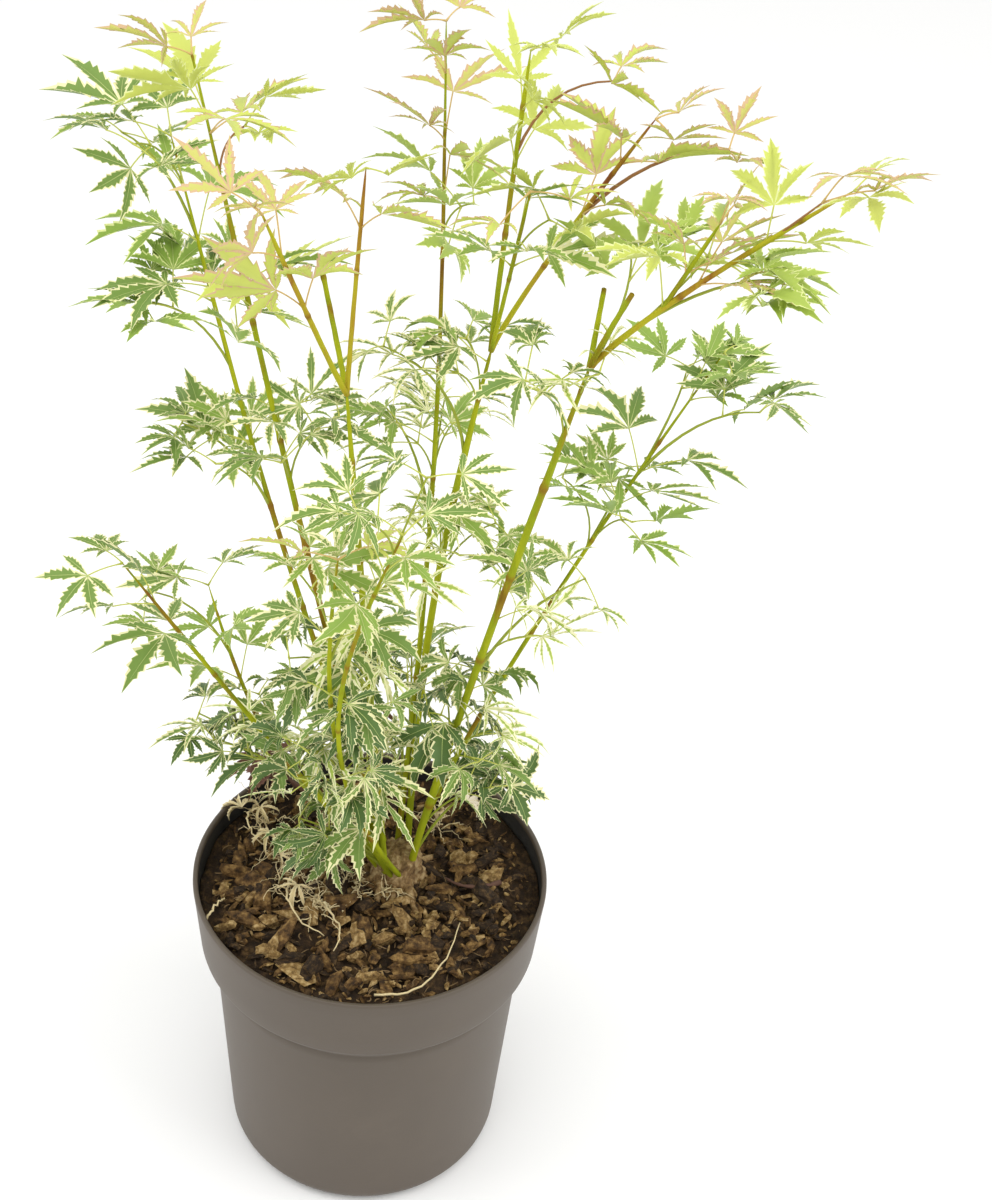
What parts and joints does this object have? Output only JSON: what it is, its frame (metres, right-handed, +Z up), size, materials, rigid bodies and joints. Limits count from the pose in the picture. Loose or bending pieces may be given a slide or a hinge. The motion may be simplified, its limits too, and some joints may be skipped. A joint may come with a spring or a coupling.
{
  "type": "potted japanese maple",
  "caption": "Potted japanese maple: a clump of thin canes carrying open masses of narrow-lobed leaves, standing in a round plastic nursery pot of bark mulch.",
  "frame": {"origin": "centre of the pot's flat underside, where it stands on the floor", "axes": "+Z up the pot's axis and the plant, -Y the front, +X to the right where the longest bough reaches out"},
  "size_m": [0.4168, 0.2572, 0.6356],
  "materials": {
    "pot_plastic": "satin",
    "bark_mulch": "matte",
    "root_bark": "matte",
    "green_bark": "satin",
    "red_bark": "satin",
    "shade_leaves": "matte",
    "crest_leaves": "matte"
  },
  "bodies": {
    "root": {"pot": "pot_plastic", "bark_mulch": "bark_mulch", "rootstock": "root_bark", "left_back_cane": "green_bark", "left_tall_cane": "green_bark", "centre_cane": "green_bark", "back_tall_cane": "green_bark", "middle_cane": "green_bark", "right_cane": "green_bark", "right_back_cane": "green_bark", "front_shoot": "green_bark", "front_right_shoot": "green_bark", "low_left_cane": "green_bark", "low_back_cane": "green_bark", "front_left_bough": "red_bark", "upright_bough": "red_bark", "left_cut_stub": "green_bark", "top_bough": "green_bark", "right_high_bough": "red_bark", "slender_bough": "green_bark", "long_arching_bough": "red_bark", "rising_side_bough": "green_bark", "front_cut_stub": "green_bark", "back_cut_stub": "green_bark", "crest_left": "crest_leaves", "shoulder_left": "crest_leaves", "sprig_left": "crest_leaves", "tuft_front_left": "crest_leaves", "tuft_centre": "crest_leaves", "crest_back": "crest_leaves", "waist_back": "crest_leaves", "crest_right": "crest_leaves", "tuft_right": "crest_leaves", "far_tip": "crest_leaves", "far_under": "crest_leaves", "far_over": "crest_leaves", "inner_right": "crest_leaves", "middle_right": "crest_leaves", "shelf_left": "shade_leaves", "inner_left": "shade_leaves", "flank_left": "shade_leaves", "heart_left": "shade_leaves", "arm_tip": "shade_leaves", "arm_middle": "shade_leaves", "heart_centre": "shade_leaves", "heart_right": "shade_leaves", "side_right": "shade_leaves", "front_centre": "shade_leaves", "core": "shade_leaves", "flank_right": "shade_leaves", "hip_right": "shade_leaves", "belly": "shade_leaves", "waist_low_back": "shade_leaves", "skirt_middle": "shade_leaves", "skirt_front": "shade_leaves", "skirt_left": "shade_leaves", "skirt_right": "shade_leaves", "skirt_back": "shade_leaves", "hem_front": "shade_leaves", "hem_right": "shade_leaves"}
  },
  "joints": []
}
